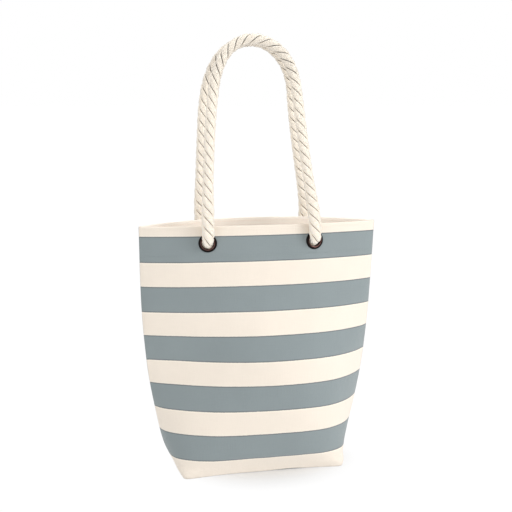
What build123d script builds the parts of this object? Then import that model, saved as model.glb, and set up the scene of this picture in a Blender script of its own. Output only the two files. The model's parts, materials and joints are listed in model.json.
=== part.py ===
"""Striped canvas tote bag with two twisted rope handles, standing open.

Millimetres. +X runs along the mouth, -Y is the front, +Z is up. The origin is the middle of the base, on the floor.
The bag is sewn from two canvas panels and a base. Each rope handle passes through two eyelets and is
stopped inside the bag by a knot, and it swings where it leaves its eyelets.
"""

from build123d import *
import math
import os

os.makedirs("parts", exist_ok=True)

# ---------------------------------------------------------------- driving dimensions
bag_height = 350.0            # floor to the rim at the middle of a panel
mouth_width = 332.0           # rim, from side seam to side seam
mouth_depth = 65.0            # rim, front to back at the middle
base_length = 234.0           # base, along X
base_depth = 123.0            # base, along Y
base_waist = 6.0              # how far the middle of the base's long edges is drawn in
belly_depth = 131.0           # greatest depth, low on the bag
front_lean = 9.8              # how far the front panel's belly leans to the right
canvas = 1.1                  # one layer of canvas
hem_depth = 42.0              # turned-in top of each panel
rim_dip = 3.0                 # how much lower the rim is at the side seams

side_allowance = 10.0         # raw edges inside the side seams, bound together
base_allowance = 8.0          # raw edges that stand up inside the base seam
base_tape = 1.4               # thickness of the base seam's allowance and tape
tape_gap = 0.15               # between that tape and the panels, which lean away above it

rope_diameter = 15.0          # three-strand cotton rope
eyelet_spacing = 147.0        # centre to centre on one panel
eyelet_drop = 24.5            # rim to eyelet centre
bore_clearance = 0.4          # rope to bore, each side
barrel_wall = 0.6
flange_width = 4.6            # from the bore to the flange's edge
flange_height = 2.0           # crown of the flange above the canvas
lean_start = 34.0             # height above the eyelets where the handles start to lean in
flange_edge = 0.5             # thickness of the flange at its edge
washer_thickness = 0.8
washer_rim = 0.7              # height of the washer's raised edge
curl_width = 2.2              # barrel's end, rolled over the washer
curl_height = 1.3
rope_gap = 0.5                # between a handle and the flanges it leaves
handle_gap = 1.0              # between the two handles where they lean together

knot_width = 32.0             # stopper knot inside each eyelet
knot_depth = 21.0
knot_rounding = 10.0
knot_gap = 0.4                # between a knot and the eyelet it stops against
tail_length = 36.0            # the rope's end below its knot, from the knot's middle
whipping_length = 9.0         # twine that binds the rope's cut end
whipping_thickness = 0.9
whipping_end = 4.0            # rope left below the twine

# A handle's route between its two eyelets, from left to right: distance from the middle of the bag, and height
# above the eyelets.
front_route = [
    (-75.5, 36), (-75, 86), (-72.5, 136), (-69, 184), (-65.5, 221), (-51, 249), (-25.5, 265.5),
    (4, 265.5), (29.5, 249), (44, 221), (49, 181), (54.5, 135), (61.5, 86), (70.5, 38),
]
rear_route = [
    (-75.5, 38), (-74, 92), (-73.5, 140), (-74.5, 180), (-70, 216), (-54, 245), (-26, 261.5),
    (6.5, 261.5), (35, 245), (51, 216), (54, 178), (61, 134), (66, 88), (72, 40),
]

# Where a knot hangs from its eyelet's axis: towards the side seam, and down.
knot_places = {"front": (-3.0, 6.0), "rear": (3.0, 2.0)}

# ---------------------------------------------------------------- shape of the standing bag
# Each slice of the bag is the curve |x / half width| ** flatness + |y / half depth| ** roundness = 1:
# a rounded oblong at the base, a lens with its points at the side seams from there to the rim.
# One row holds the share of the height, the share of the way from the base's length to the mouth's width,
# the half depth, how far the middle is drawn in, the flatness, the roundness, and how far the belly stands out
# on the right and is drawn in on the left.
slices = [
    (0.00, 0.00, base_depth / 2, base_waist, 5.6, 4.0, 0.0),
    (0.10, 0.33, belly_depth / 2, 0.0, 3.6, 1.85, 0.35 * front_lean),
    (0.25, 0.58, belly_depth / 2, 0.0, 2.9, 1.25, 0.65 * front_lean),
    (0.45, 0.82, belly_depth / 2 - 7.0, 0.0, 2.15, 1.04, front_lean),
    (0.70, 0.94, (belly_depth + 2 * mouth_depth) / 6 - 2.0, 0.0, 1.9, 1.15, 0.36 * front_lean),
    (0.85, 0.972, mouth_depth / 2 + 3.5, 0.0, 1.95, 1.12, 0.0),
    (1.00, 1.00, mouth_depth / 2, 0.0, 2.0, 1.08, 0.0),
]
slice_points = 8              # spline points between the middle of a panel and its seam


def wall_curve(row, inset, leaning):
    """Points on the front half of a slice, from the left seam to the right one, moved inwards by inset.
    Leaning is 1 for the front panel. It is 0 for the rear one, whose half is mirrored afterwards."""
    across, half_depth, waist, flatness, roundness, lean = row[1:]
    half_width = (base_length + across * (mouth_width - base_length)) / 2

    def on_wall(step, width, depth, lean):
        angle = step / slice_points * math.pi / 2
        x = math.copysign(abs(math.sin(angle)) ** (2 / flatness), angle)
        y = -depth * max(math.cos(angle), 0.0) ** (2 / roundness)
        return width * x, y + waist * (1 - x**2) ** 2 - 2.6 * lean * x * (1 - x**2)

    # Where two layers of a panel meet the seam at a slant, they reach it further apart than they are thick.
    x, y = on_wall(slice_points - 1, half_width, half_depth, 0)
    seam_slope = abs(y) / math.hypot(half_width - x, y)
    width, depth = half_width - inset / seam_slope, half_depth - inset
    points = [on_wall(step, width, depth, lean * leaning) for step in range(1 - slice_points, slice_points)]
    return [(-width, 0.0)] + points + [(width, 0.0)]


def height_of(row):
    """Height of a slice above the floor: the lowest one lies on top of the base."""
    return canvas + row[0] * (bag_height - canvas)


def wall_layer(outside, inside, leaning):
    """Front half of a layer of cloth over the bag's whole height, between two insets from its outer face."""
    with BuildPart() as layer:
        for row in slices:
            outer, inner = wall_curve(row, outside, leaning), wall_curve(row, inside, leaning)
            with BuildSketch(Plane.XY.offset(height_of(row))):
                with BuildLine():
                    Spline(*outer)
                    Line(outer[-1], inner[-1])
                    Spline(*inner[::-1])
                    Line(inner[0], outer[0])
                make_face()
        loft()
    return layer.part


# ---------------------------------------------------------------- eyelets
wall = wall_layer(0, canvas, 0)
eyelet_height = bag_height - eyelet_drop
eyelet_line = Axis((eyelet_spacing / 2, -belly_depth, eyelet_height), (0, 1, 0))
seat_point, seat_normal = min(wall.find_intersection_points(eyelet_line), key=lambda hit: hit[0].Y)
if seat_normal.Y > 0:
    seat_normal = -seat_normal

corners = [("front", "left", -1, -1), ("front", "right", 1, -1), ("rear", "left", -1, 1), ("rear", "right", 1, 1)]
bore = rope_diameter / 2 + bore_clearance
barrel = bore + barrel_wall
flange = bore + flange_width
stack = 2 * canvas            # panel and hem under the flange
washer_face = -stack - washer_thickness


def seat(side, panel):
    """Plane on the outer face of a panel at an eyelet, facing outwards. Side and panel are -1 or 1."""
    origin = (side * seat_point.X, -panel * seat_point.Y, seat_point.Z)
    normal = (side * seat_normal.X, -panel * seat_normal.Y, seat_normal.Z)
    return Plane(origin=origin, x_dir=(1, 0, 0), z_dir=normal)


eyelets, washers = {}, {}
for panel_name, side_name, side, panel in corners:
    place = seat(side, panel)
    name = f"{panel_name}_{side_name}_eyelet"
    with BuildPart() as eyelet:
        with BuildSketch(Plane(origin=place.origin, x_dir=place.x_dir, z_dir=-place.y_dir)):
            with BuildLine():
                Line((barrel, 0), (flange, 0))
                Line((flange, 0), (flange, flange_edge))
                ThreePointArc((flange, flange_edge), ((bore + flange) / 2, flange_height), (bore, flange_edge))
                Line((bore, flange_edge), (bore, washer_face - curl_height / 2))
                ThreePointArc(
                    (bore, washer_face - curl_height / 2),
                    ((bore + barrel + curl_width) / 2, washer_face - curl_height),
                    (barrel + curl_width, washer_face),
                )
                Line((barrel + curl_width, washer_face), (barrel, washer_face))
                Line((barrel, washer_face), (barrel, 0))
            make_face()
        revolve(axis=Axis(place.origin, place.z_dir))
    eyelet.part.label = name
    export_step(eyelet.part, f"parts/{name}.step")
    eyelets[name] = eyelet.part

    name = f"{panel_name}_{side_name}_washer"
    with BuildPart() as washer:
        with BuildSketch(Plane(origin=place.origin, x_dir=place.x_dir, z_dir=-place.y_dir)):
            with BuildLine():
                Polyline(
                    (barrel, -stack),
                    (flange, -stack),
                    (flange, washer_face - washer_rim),
                    (flange - washer_thickness, washer_face - washer_rim),
                    (flange - 2 * washer_thickness, washer_face),
                    (barrel, washer_face),
                    close=True,
                )
            make_face()
        revolve(axis=Axis(place.origin, place.z_dir))
    washer.part.label = name
    export_step(washer.part, f"parts/{name}.step")
    washers[name] = washer.part

# ---------------------------------------------------------------- canvas panels
half_mouth = mouth_width / 2
above = bag_height + rim_dip
panels = {}
for name, leaning in (("front_panel", 1), ("back_panel", 0)):
    with BuildPart() as panel_part:
        add(wall_layer(canvas / 2, 2 * canvas, leaning))
        split(bisect_by=Plane.XY.offset(bag_height - hem_depth), keep=Keep.TOP)
        add(wall_layer(0, canvas, leaning))
        with BuildSketch(Plane.XZ):
            with BuildLine():
                ThreePointArc(
                    (-half_mouth, bag_height - rim_dip), (0, bag_height), (half_mouth, bag_height - rim_dip)
                )
                Polyline(
                    (half_mouth, bag_height - rim_dip), (half_mouth, above), (-half_mouth, above),
                    (-half_mouth, bag_height - rim_dip),
                )
            make_face()
        extrude(amount=belly_depth, both=True, mode=Mode.SUBTRACT)
        for side in (-1, 1):
            with Locations(seat(side, -1)):
                Cylinder(barrel, 6 * stack, mode=Mode.SUBTRACT)
        for side_name in ("left", "right"):
            add(eyelets[f"front_{side_name}_eyelet"], mode=Mode.SUBTRACT)
            add(washers[f"front_{side_name}_washer"], mode=Mode.SUBTRACT)
        if name == "back_panel":
            mirror(about=Plane.XZ, mode=Mode.REPLACE)
    panel_part.part.label = name
    export_step(panel_part.part, f"parts/{name}.step")
    panels[name] = panel_part.part

with BuildPart() as base_panel:
    edge = wall_curve(slices[0], 0, 0)
    with BuildSketch():
        with BuildLine():
            Spline(*edge)
            Spline(*[(x, -y) for x, y in edge])
        make_face()
    extrude(amount=canvas)
base_panel.part.label = "base_panel"
export_step(base_panel.part, "parts/base_panel.step")

# ---------------------------------------------------------------- seams inside the bag
with BuildPart() as base_seam_tape:
    add(wall_layer(canvas + tape_gap, canvas + tape_gap + base_tape, 0))
    mirror(about=Plane.XZ, mode=Mode.REPLACE)
    add(wall_layer(canvas + tape_gap, canvas + tape_gap + base_tape, 1))
    split(bisect_by=Plane.XY.offset(canvas + base_allowance), keep=Keep.BOTTOM)
base_seam_tape.part.label = "base_seam_tape"
export_step(base_seam_tape.part, "parts/base_seam_tape.step")

# The inside of the bag, cut to a thin slice at the side seams' plane, and hollowed to the allowance's width.
with BuildPart() as side_seams:
    for row in slices:
        front, rear = (wall_curve(row, canvas + tape_gap, leaning) for leaning in (1, 0))
        with BuildSketch(Plane.XY.offset(height_of(row))):
            with BuildLine():
                Spline(*front)
                Spline(*[(x, -y) for x, y in rear[::-1]])
            make_face()
    loft()
    split(bisect_by=Plane.XZ.offset(canvas), keep=Keep.BOTTOM)
    split(bisect_by=Plane.XZ.offset(-canvas), keep=Keep.TOP)
    inner = [(wall_curve(row, canvas, 0)[-1][0] - side_allowance, height_of(row)) for row in slices]
    with BuildSketch(Plane.XZ):
        with BuildLine():
            Spline(*inner)
            Line(inner[-1], (-inner[-1][0], inner[-1][1]))
            Spline(*[(-x, z) for x, z in inner[::-1]])
            Line((-inner[0][0], inner[0][1]), inner[0])
        make_face()
    extrude(amount=belly_depth, both=True, mode=Mode.SUBTRACT)
    split(bisect_by=Plane.XY.offset(canvas + base_allowance), keep=Keep.TOP)
    split(bisect_by=Plane.XY.offset(bag_height - 2 * rim_dip), keep=Keep.BOTTOM)
    for panel_solid in panels.values():
        add(panel_solid, mode=Mode.SUBTRACT)

for side_name, solid in zip(("left", "right"), side_seams.solids().sort_by(Axis.X)):
    name = f"{side_name}_side_seam"
    with BuildPart() as side_seam:
        add(solid)
    side_seam.part.label = name
    export_step(side_seam.part, f"parts/{name}.step")

# ---------------------------------------------------------------- rope ends, with their stopper knots
knot_middle = washer_face - curl_height - knot_gap - knot_depth / 2
for panel_name, side_name, side, panel in corners:
    place = seat(side, panel)
    outward, down = knot_places[panel_name]
    middle = place.from_local_coords((side * outward, -down, knot_middle))
    name = f"{panel_name}_{side_name}_rope_end"
    with BuildPart() as rope_end:
        with BuildSketch(Plane(origin=middle, x_dir=place.x_dir, z_dir=-place.y_dir)):
            RectangleRounded(knot_width, knot_depth, knot_rounding)
            Rectangle(knot_width, knot_depth, align=(Align.MAX, Align.CENTER), mode=Mode.SUBTRACT)
        revolve(axis=Axis(middle, place.z_dir))
        with Locations(place.offset(flange_height)):
            Cylinder(rope_diameter / 2, flange_height - knot_middle, align=(Align.CENTER, Align.CENTER, Align.MAX))
        with Locations(middle):
            Cylinder(rope_diameter / 2, tail_length, align=(Align.CENTER, Align.CENTER, Align.MAX))
    rope_end.part.label = name
    export_step(rope_end.part, f"parts/{name}.step")

    name = f"{panel_name}_{side_name}_whipping"
    with BuildPart() as whipping:
        with BuildSketch(Plane.XY.offset(middle.Z - tail_length + whipping_end)):
            with Locations((middle.X, middle.Y)):
                Circle(rope_diameter / 2 + whipping_thickness)
                Circle(rope_diameter / 2, mode=Mode.SUBTRACT)
        extrude(amount=whipping_length)
    whipping.part.label = name
    export_step(whipping.part, f"parts/{name}.step")

# ---------------------------------------------------------------- rope handles
pivot = seat(1, -1).origin + seat(1, -1).z_dir * (flange_height + rope_gap + rope_diameter / 2)
rope_area = math.pi * rope_diameter**2 / 4
print(f"handle hinges at x {pivot.X:.3f} y {pivot.Y:.3f} z {pivot.Z:.3f}")


def corner_radii(points):
    """One radius for each inner point of a route: as large as its two runs allow."""
    radii = []
    for before, point, after in zip(points, points[1:], points[2:]):
        turn = (point - before).get_angle(after - point)
        shorter = min((point - before).length, (after - point).length)
        radii.append(0.45 * shorter / math.tan(math.radians(turn) / 2))
    return radii


for panel_name, panel, route in (("front", -1, front_route), ("rear", 1, rear_route)):
    name = f"{panel_name}_handle"
    top = max(height for _, height in route)
    lean = (-pivot.Y - (rope_diameter + handle_gap) / 2) / (top - lean_start)
    points = []
    for x, height in [(-pivot.X, 0)] + route + [(pivot.X, 0)]:
        away = -pivot.Y - lean * max(height - lean_start, 0)
        points.append(Vector(x, panel * away, pivot.Z + height))
    radii = corner_radii(points)
    with BuildPart() as handle:
        with BuildLine() as path:
            FilletPolyline(*points, radius=radii)
        with BuildSketch(Plane(origin=path.line @ 0, z_dir=path.line % 0)):
            Circle(rope_diameter / 2)
        sweep()
    tube_volume = handle.part.volume
    with BuildPart() as rope_handle:
        add(handle.part)
        with Locations(points[0], points[-1]):
            Sphere(rope_diameter / 2)
    rope_handle.part.label = name
    export_step(rope_handle.part, f"parts/{name}.step")
    length = path.wires()[0].length
    print(name, "radii", [round(r) for r in radii], "runs", [round((b - a).length) for a, b in zip(points, points[1:])])
    print(name, f"length {length:.1f}, volume {tube_volume:.0f}, section x length {rope_area * length:.0f}")
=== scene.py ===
"""Looks of a striped canvas tote bag with rope handles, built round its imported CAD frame.

Every piece is a surface worked out as whole arrays: the bag's walls are one function of the share
of the way across and the share of the way up, and the ropes' strands are helices carried along a route.
"""

import json
import math

import bmesh
import bpy
import numpy as np
from mathutils import Matrix, Vector


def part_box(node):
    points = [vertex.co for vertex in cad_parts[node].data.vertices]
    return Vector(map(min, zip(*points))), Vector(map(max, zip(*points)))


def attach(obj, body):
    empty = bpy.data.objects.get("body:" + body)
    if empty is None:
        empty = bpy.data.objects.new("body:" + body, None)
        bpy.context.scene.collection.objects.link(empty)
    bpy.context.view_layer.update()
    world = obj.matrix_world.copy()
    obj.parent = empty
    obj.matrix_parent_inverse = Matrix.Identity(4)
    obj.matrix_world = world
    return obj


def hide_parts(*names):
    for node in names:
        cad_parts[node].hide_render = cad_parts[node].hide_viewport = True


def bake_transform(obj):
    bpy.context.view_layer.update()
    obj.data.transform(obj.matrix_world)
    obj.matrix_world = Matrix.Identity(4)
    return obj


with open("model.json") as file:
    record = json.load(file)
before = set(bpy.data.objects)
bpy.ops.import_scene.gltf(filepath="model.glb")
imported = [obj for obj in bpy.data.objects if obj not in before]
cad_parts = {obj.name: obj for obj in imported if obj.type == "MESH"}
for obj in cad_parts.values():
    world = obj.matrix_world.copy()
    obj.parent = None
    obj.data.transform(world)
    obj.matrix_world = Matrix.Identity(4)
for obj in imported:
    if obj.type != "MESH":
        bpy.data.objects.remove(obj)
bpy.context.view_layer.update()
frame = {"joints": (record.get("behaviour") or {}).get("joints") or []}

bl_info = {
    "name": "Canvas Tote Bag",
    "version": (1, 0, 0),
    "blender": (4, 5, 0),
    "location": "View3D > Sidebar > Tote Bag",
    "description": "Dresses the frame of a canvas tote bag: cloth, seams, eyelets, ropes and the stage",
    "category": "Add Mesh",
}

SIDES = {"left": -1, "right": 1}  # and the sign of x there
PANELS = {"front": -1, "rear": 1}  # and the sign of y there
CORNERS = [(panel, side) for panel in PANELS for side in SIDES]


def middle(node):
    """Middle of a CAD node's box."""
    low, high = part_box(node)
    return np.array((low + high) / 2)


def span(node):
    """Size of a CAD node's box."""
    low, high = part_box(node)
    return np.array(high - low)


HINGES = {joint["child"]: np.array(joint["pos_m"]) for joint in frame["joints"]}


# ---------------------------------------------------------------- sizes and colours
def length(name, default, description):
    return bpy.props.FloatProperty(
        name=name, default=default, description=description, unit="LENGTH", subtype="DISTANCE", precision=4
    )


def number(name, default, description):
    return bpy.props.FloatProperty(name=name, default=default, description=description)


def count(name, default, description):
    return bpy.props.IntProperty(name=name, default=default, description=description)


def colour(name, default, description):
    """A colour property. The default is given on the display's scale, from 0 to 255."""
    linear = [((part / 255 + 0.055) / 1.055) ** 2.4 for part in default]
    return bpy.props.FloatVectorProperty(
        name=name, default=linear, description=description, subtype="COLOR", size=3, min=0, max=1
    )


class ToteCloth(bpy.types.PropertyGroup):
    height: length("Height", span("front_panel")[2] + span("base_panel")[2], "Floor to the middle of the rim")
    mouth_width: length("Mouth width", span("front_panel")[0], "Seam to seam at the rim")
    base_length: length("Base length", span("base_panel")[0], "Seam to seam at the floor")
    rim_dip: length("Rim dip", 0.0033, "How far the rim drops towards the side seams")
    base_lift: length("Base lift", 0.0010, "How far the middle of a base edge stands off the floor")
    base_bow: length("Base bow", 0.0060, "How far the middle of a base edge is drawn in")
    canvas: length("Canvas", span("base_panel")[2], "Thickness of the cloth")
    hem_depth: length("Hem depth", 0.042, "Rim to the lower edge of the turned hem")
    top_band: length("Top band", 0.0120, "Height of the cream band above the first stripe")
    stripe: length("Stripe", 0.036, "Height of a grey stripe")
    gap: length("Gap", 0.0326, "Height of the cream band between two stripes")
    thread: length("Thread", 0.00085, "Distance between two threads of the weave")
    allowance: length("Allowance", 0.010, "Width of the side seams' allowance")
    tape_height: length("Tape height", span("base_seam_tape")[2], "Height of the tape over the base seam")


class ToteRope(bpy.types.PropertyGroup):
    diameter: length("Diameter", 0.015, "Over the strands")
    lay: length("Lay", 0.042, "Length in which a strand goes once round")
    strands: count("Strands", 3, "Strands in the rope")
    yarns: count("Yarns", 20, "Yarns round a strand")
    tail: length("Tail", 0.036, "Rope below a knot's middle")
    whipping_turns: count("Whipping turns", 9, "Turns of twine round a tail's end")


class ToteEyelet(bpy.types.PropertyGroup):
    bore: length("Bore", 0.0079, "Radius of the hole")
    flange: length("Flange", 0.0125, "Outer radius of the flange")
    flange_height: length("Flange height", 0.0020, "How far the flange stands off the cloth")
    wall: length("Wall", 0.0006, "Thickness of the metal")
    curl: length("Curl", 0.0024, "Width of the curl behind the washer")


class ToteColours(bpy.types.PropertyGroup):
    cream: colour("Cream", (247, 236, 222), "Undyed canvas")
    grey: colour("Grey", (143, 153, 155), "Dyed stripes")
    lining: colour("Lining", (252, 243, 233), "Inner face of the canvas")
    rope: colour("Rope", (251, 241, 226), "Cotton strands")
    # painted shade between the strands
    groove_shade: colour("Groove", (76, 69, 58), "Shade between the strands")
    # colour of the painted highlight on the eyelets' crown
    bronze: colour("Bronze", (118, 86, 81), "Eyelets where they are rubbed")
    patina: colour("Patina", (24, 18, 17), "Eyelets in their hollows")
    twine: colour("Twine", (214, 196, 166), "Whipping of the rope's ends")
    tape: colour("Tape", (240, 228, 208), "Tape over the base seam")


class ToteStage(bpy.types.PropertyGroup):
    camera: bpy.props.FloatVectorProperty(
        name="Camera", default=(-0.2515, -1.1731, 0.5525), description="Place of the camera", subtype="XYZ"
    )
    aim: bpy.props.FloatVectorProperty(
        name="Aim", default=(-0.0021, 0.0, 0.3001), description="Point in the picture's middle", subtype="XYZ"
    )
    roll: bpy.props.FloatProperty(
        name="Roll", default=math.radians(0.45), description="Turn about the line of sight", subtype="ANGLE"
    )
    lens: number("Lens", 62.3, "Focal length in millimetres on a 36 mm wide sensor")
    sky: number("Sky", 0.72, "Strength of the even light from all round")
    light: number("Light", 1.0, "Strength of the soft lamps, as a share of their own power")


# ---------------------------------------------------------------- meshes
FACE_CORNERS = ((0, 0), (0, 1), (1, 1), (1, 0))  # rows and columns on from a face's first point
MERGE_WITHIN = 0.000002       # points that are closer than this are one


class Shells:
    """Closed grids of points gathered into one mesh, with a UV map in metres and one material per face."""

    def __init__(self):
        self.points, self.faces, self.uvs, self.finishes, self.total = [], [], [], [], 0

    def add(self, points, uv, wrap_rows=False, wrap_columns=False, finish=0):
        """Adds a closed grid, rows by columns. A wrapped direction has one UV more than it has points; where
        the UVs are only as many, their first ones come again. The faces are turned outwards where the volume
        under them, the sum of a . (b x c) / 6, is negative."""
        rows, columns = points.shape[:2]
        if wrap_rows and len(uv) == rows:
            uv = np.concatenate([uv, uv[:1]])
        if wrap_columns and uv.shape[1] == columns:
            uv = np.concatenate([uv, uv[:, :1]], 1)
        across, along = np.meshgrid(
            np.arange(columns if wrap_columns else columns - 1), np.arange(rows if wrap_rows else rows - 1)
        )
        around = [(along + up, across + on) for up, on in FACE_CORNERS]
        faces = np.stack([row % rows * columns + column % columns for row, column in around], -1)
        faces = faces.reshape(-1, 4)
        corners = np.stack([uv[place] for place in around], -2).reshape(-1, 4, 2)
        flat = points.reshape(-1, 3)
        a, b, c, d = (flat[faces[:, corner]] for corner in range(4))
        volume = np.einsum("ij,ij->", a, np.cross(b, c)) + np.einsum("ij,ij->", a, np.cross(c, d))
        if volume < 0:
            faces, corners = faces[:, ::-1], corners[:, ::-1]
        self.points.append(flat)
        self.faces.append(faces + self.total)
        self.uvs.append(corners)
        self.finishes.append(np.broadcast_to(finish, along.shape).reshape(-1))
        self.total += len(flat)

    def gathered(self, name):
        """The object of all the grids, with its poles and seams closed."""
        points, faces = np.concatenate(self.points), np.concatenate(self.faces)
        mesh = bpy.data.meshes.new(name)
        mesh.vertices.add(len(points))
        mesh.vertices.foreach_set("co", points.astype(np.float32).ravel())
        mesh.loops.add(faces.size)
        mesh.loops.foreach_set("vertex_index", faces.astype(np.int32).ravel())
        mesh.polygons.add(len(faces))
        mesh.polygons.foreach_set("loop_start", np.arange(0, faces.size, 4, dtype=np.int32))
        mesh.polygons.foreach_set("material_index", np.concatenate(self.finishes).astype(np.int32))
        mesh.polygons.foreach_set("use_smooth", np.ones(len(faces), bool))
        layer = mesh.uv_layers.new(name="cloth")
        layer.data.foreach_set("uv", np.concatenate(self.uvs).astype(np.float32).ravel())
        mesh.update(calc_edges=True)
        close_poles(mesh)
        made = bpy.data.objects.new(name, mesh)
        bpy.context.scene.collection.objects.link(made)
        return made

    def piece(self, name, body, slot, *finishes, replaces=()):
        """The object as a finished piece. It rides on the body, where one is given."""
        piece = self.gathered(name)
        for finish in finishes:
            piece.data.materials.append(material(finish))
        if body:
            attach(piece, body)
        if replaces:
            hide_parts(*replaces)
        return piece


def close_poles(mesh):
    """Joins the points that fall together, at poles and where a grid meets itself."""
    work = bmesh.new()
    work.from_mesh(mesh)
    bmesh.ops.remove_doubles(work, verts=work.verts, dist=MERGE_WITHIN)
    work.to_mesh(mesh)
    work.free()


def unit(vectors):
    """Vectors of length 1 in the same directions."""
    return vectors / np.maximum(np.linalg.norm(vectors, axis=-1, keepdims=True), 1e-12)


def travelled(points, axis=0):
    """Length, up to each point, of the lines of points that run along an axis."""
    steps = np.linalg.norm(np.diff(points, axis=axis), axis=-1)
    return np.insert(np.cumsum(steps, axis=axis), 0, 0, axis=axis)


def read_off(points, run, places):
    """Points at the places along a line whose points lie at the run."""
    return np.stack([np.interp(places, run, part) for part in points.T], -1)


def evenly(points, spacing):
    """The same line with its points at even distances, about spacing apart."""
    run = travelled(points)
    return read_off(points, run, np.linspace(0, run[-1], max(int(round(run[-1] / spacing)) + 1, 2)))


def uv_map(across, along):
    """UVs of a grid, from a row of values across it and a column of values along it."""
    return np.stack(np.broadcast_arrays(across, along), -1)


def capped(grid):
    """A grid with one row more at each end, in which every point is the middle of the grid's own end row."""
    tips = grid[[0, -1]].mean(1, keepdims=True) + 0 * grid[[0, -1]]
    return np.concatenate([tips[:1], grid, tips[1:]])


def circle(sides):
    """Angles once round, the last one a full turn on from the first."""
    return np.linspace(0, 2 * math.pi, sides + 1)


def through(levels, values, places):
    """Smooth line through the values at the levels: a cubic between each two, whose slope at a level is the
    harmonic mean of the slopes on its two sides, and 0 where they differ in sign, so it never overshoots."""
    levels, values = np.asarray(levels, float), np.asarray(values, float)
    step, rise = np.diff(levels), np.diff(values)
    slope = rise / step
    before, after = slope[:-1], slope[1:]
    weight_before, weight_after = 2 * step[1:] + step[:-1], step[1:] + 2 * step[:-1]
    same = before * after > 0
    safe_before, safe_after = np.where(same, before, 1), np.where(same, after, 1)
    mean = (weight_before + weight_after) / (weight_before / safe_before + weight_after / safe_after)
    tangent = np.concatenate([[slope[0]], np.where(same, mean, 0), [slope[-1]]])
    part = np.clip(np.searchsorted(levels, places, side="right") - 1, 0, len(step) - 1)
    way = (places - levels[part]) / step[part]
    start, end = values[part], values[part + 1]
    return (
        (2 * way**3 - 3 * way**2 + 1) * start
        + (way**3 - 2 * way**2 + way) * step[part] * tangent[part]
        + (3 * way**2 - 2 * way**3) * end
        + (way**3 - way**2) * step[part] * tangent[part + 1]
    )


def ease(low, high, places):
    """0 below low, 1 above high and a smooth rise between them."""
    way = np.clip((places - low) / (high - low), 0, 1)
    return way * way * (3 - 2 * way)


# ---------------------------------------------------------------- the standing bag's shape
# One row for each level of the bag: share of the height, share of the way from the base's length to the
# mouth's width, half depth, flatness, roundness, lean of the front panel's belly to the right, and shift
# sideways.
LEVELS = np.array(
    [
        (0.00, -0.04, 0.0515, 20.0, 13.0, 0.0, 0.0029),
        (0.045, 0.135, 0.0580, 6.0, 3.2, -0.0012, 0.0010),
        (0.10, 0.315, 0.0642, 3.6, 1.8, -0.0029, 0.0000),
        (0.25, 0.58, 0.0629, 3.0, 1.18, -0.0059, 0.0012),
        (0.45, 0.80, 0.0589, 2.1, 0.98, -0.0098, 0.0012),
        (0.70, 0.93, 0.0400, 1.9, 1.26, -0.0021, 0.0014),
        (1.00, 0.985, 0.0320, 2.0, 1.06, 0.0, 0.0026),
    ]
)
SECTION_STEPS = 721           # points worked out on a section before they are spaced evenly
BELLY = 2.6                   # brings the largest value of u (1 - u^2) up to 1
BOW_TOP = 0.10                # share of the height at which the base's bow has died out
FRONT_DROP = 0.0012           # how much lower the front rim lies than the rear one
# The long soft folds of a wall, each the product of two sine waves: its height, and for each wave the radians
# per metre sideways and upwards, the radians at the start, and how many times the panel's own turn is added.
FOLDS = [
    (0.0007, (38, 9, 0.0, 1.0), (0, 13, 0.0, 2.1)),
    (0.0004, (71, -23, 0.6, 1.0), (0, 31, 1.0, 0.0)),
    (0.00025, (120, 57, 0.0, 2.0), (-40, 83, 0.0, 0.0)),
]
REAR_TURN = 1.7               # the rear panel's own turn; the front one has none
SEAM_FADE, FOOT_FADE = 0.06, 0.10  # shares of the width and of the height over which the folds grow
RIM_FADE, RIM_CALM = 0.85, 0.6     # share of the height from which they die down, and by how much


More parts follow.
